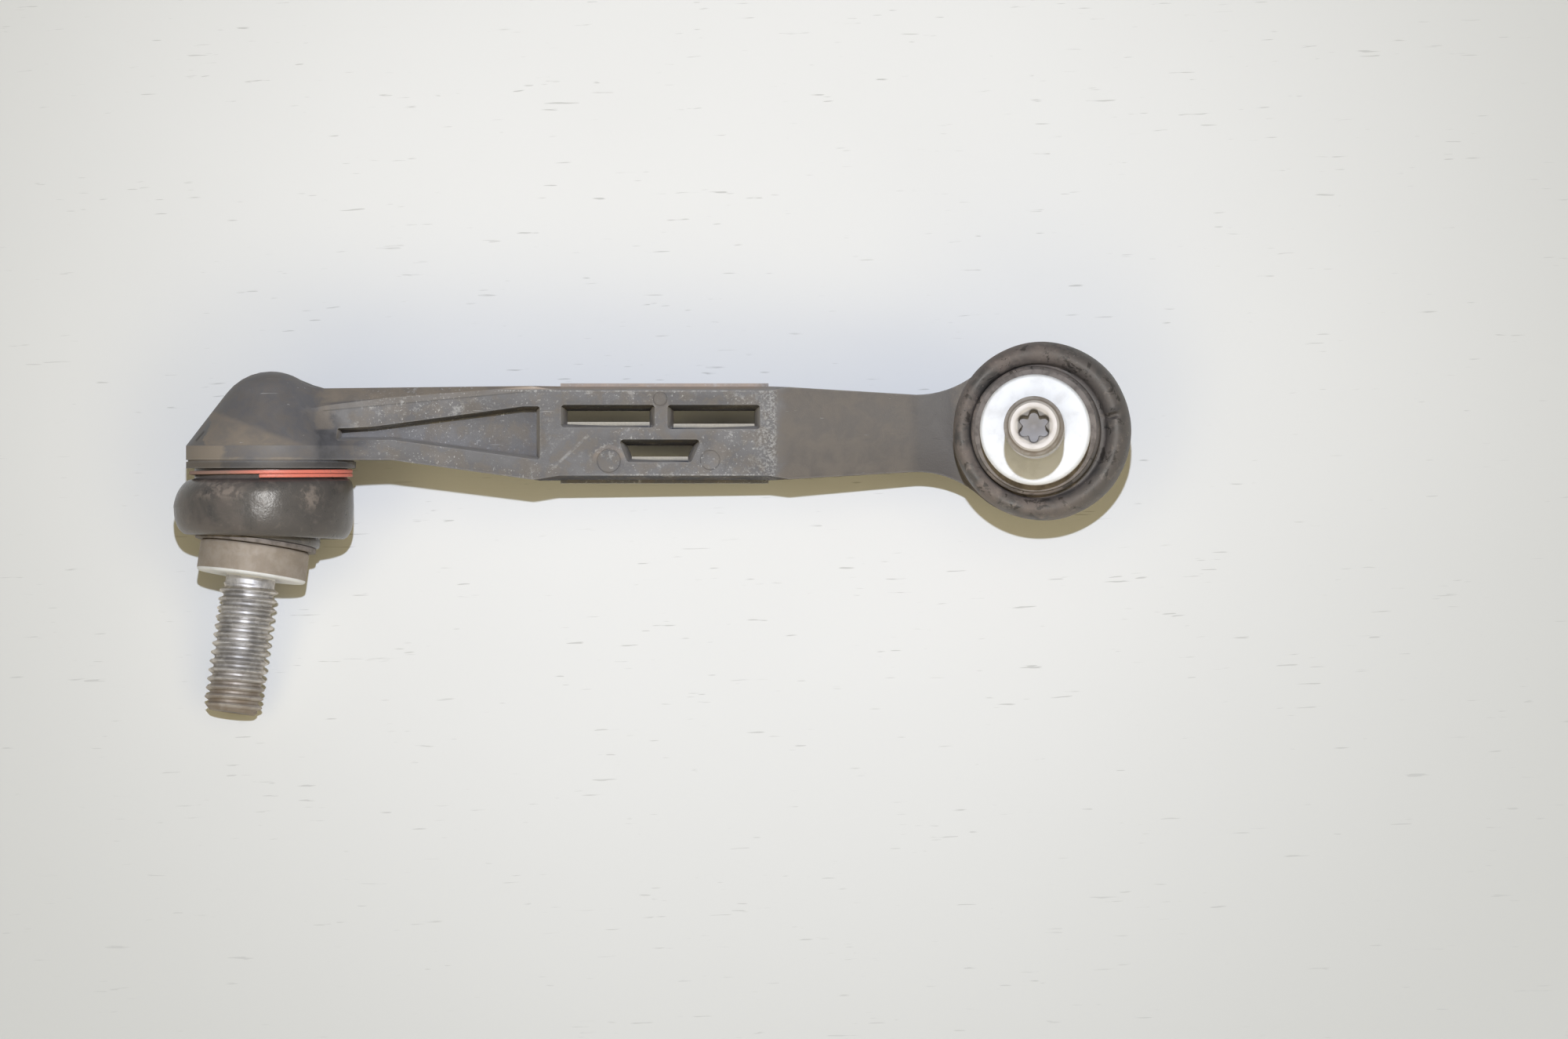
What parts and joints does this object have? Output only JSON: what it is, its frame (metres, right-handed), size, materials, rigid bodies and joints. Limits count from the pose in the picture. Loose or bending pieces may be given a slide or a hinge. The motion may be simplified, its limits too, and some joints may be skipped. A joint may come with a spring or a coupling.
{
  "type": "stabilizer link",
  "caption": "Plastic-bodied stabilizer link with a booted ball joint at each end, the two threaded studs square to each other, used and dirty.",
  "frame": {"origin": "centre of the left ball", "axes": "+X along the arm to the right ball, the left joint opens towards -Y, the right joint towards +Z"},
  "size_m": [0.1608, 0.0623, 0.0622],
  "materials": {
    "body_plastic": "worn, glass-filled, dirty",
    "shell_plastic": "natural",
    "ring_plastic": "satin",
    "clamp_paint": "worn red coat",
    "boot_rubber": "matt, dusty",
    "seal_rubber": "matt",
    "stud_steel": "zinc, with light rust and dirt"
  },
  "bodies": {
    "link": {"link_body": "body_plastic", "left_bearing_shell": "shell_plastic", "left_retaining_ring": "ring_plastic", "left_clamp_ring": "clamp_paint", "right_bearing_shell": "shell_plastic", "right_retaining_ring": "ring_plastic", "right_clamp_ring": "clamp_paint"},
    "left_boot_body": {"left_boot": "boot_rubber"},
    "left_seal_body": {"left_seal_ring": "seal_rubber"},
    "left_stud_body": {"left_stud": "stud_steel"},
    "right_boot_body": {"right_boot": "boot_rubber"},
    "right_seal_body": {"right_seal_ring": "seal_rubber"},
    "right_stud_body": {"right_stud": "stud_steel"}
  },
  "joints": [
    {"name": "left_swing_along", "type": "hinge", "parent": "link", "child": "left_boot_body", "pos_m": [0, 0, 0], "axis": [0, 0, 1], "range_deg": [-12.2, 27.8], "deforming": ["left_boot"]},
    {"name": "left_swing_across", "type": "hinge", "parent": "left_boot_body", "child": "left_seal_body", "pos_m": [0, 0, 0], "axis": [0.9907, -0.1357, 0], "range_deg": [-16.4, 23.6], "deforming": ["left_boot"]},
    {"name": "left_spin", "type": "hinge", "parent": "left_seal_body", "child": "left_stud_body", "pos_m": [0, 0, 0], "axis": [-0.1354, -0.9888, 0.0628], "continuous": true},
    {"name": "right_swing_along", "type": "hinge", "parent": "link", "child": "right_boot_body", "pos_m": [0.1285, 0, 0], "axis": [0, 1, 0], "range_deg": [-18.2, 21.8], "deforming": ["right_boot"]},
    {"name": "right_swing_across", "type": "hinge", "parent": "right_boot_body", "child": "right_seal_body", "pos_m": [0.1285, 0, 0], "axis": [0.9995, 0, 0.0314], "range_deg": [-18.9, 21.1], "deforming": ["right_boot"]},
    {"name": "right_spin", "type": "hinge", "parent": "right_seal_body", "child": "right_stud_body", "pos_m": [0.1285, 0, 0], "axis": [-0.0314, 0.0192, 0.9993], "continuous": true}
  ]
}
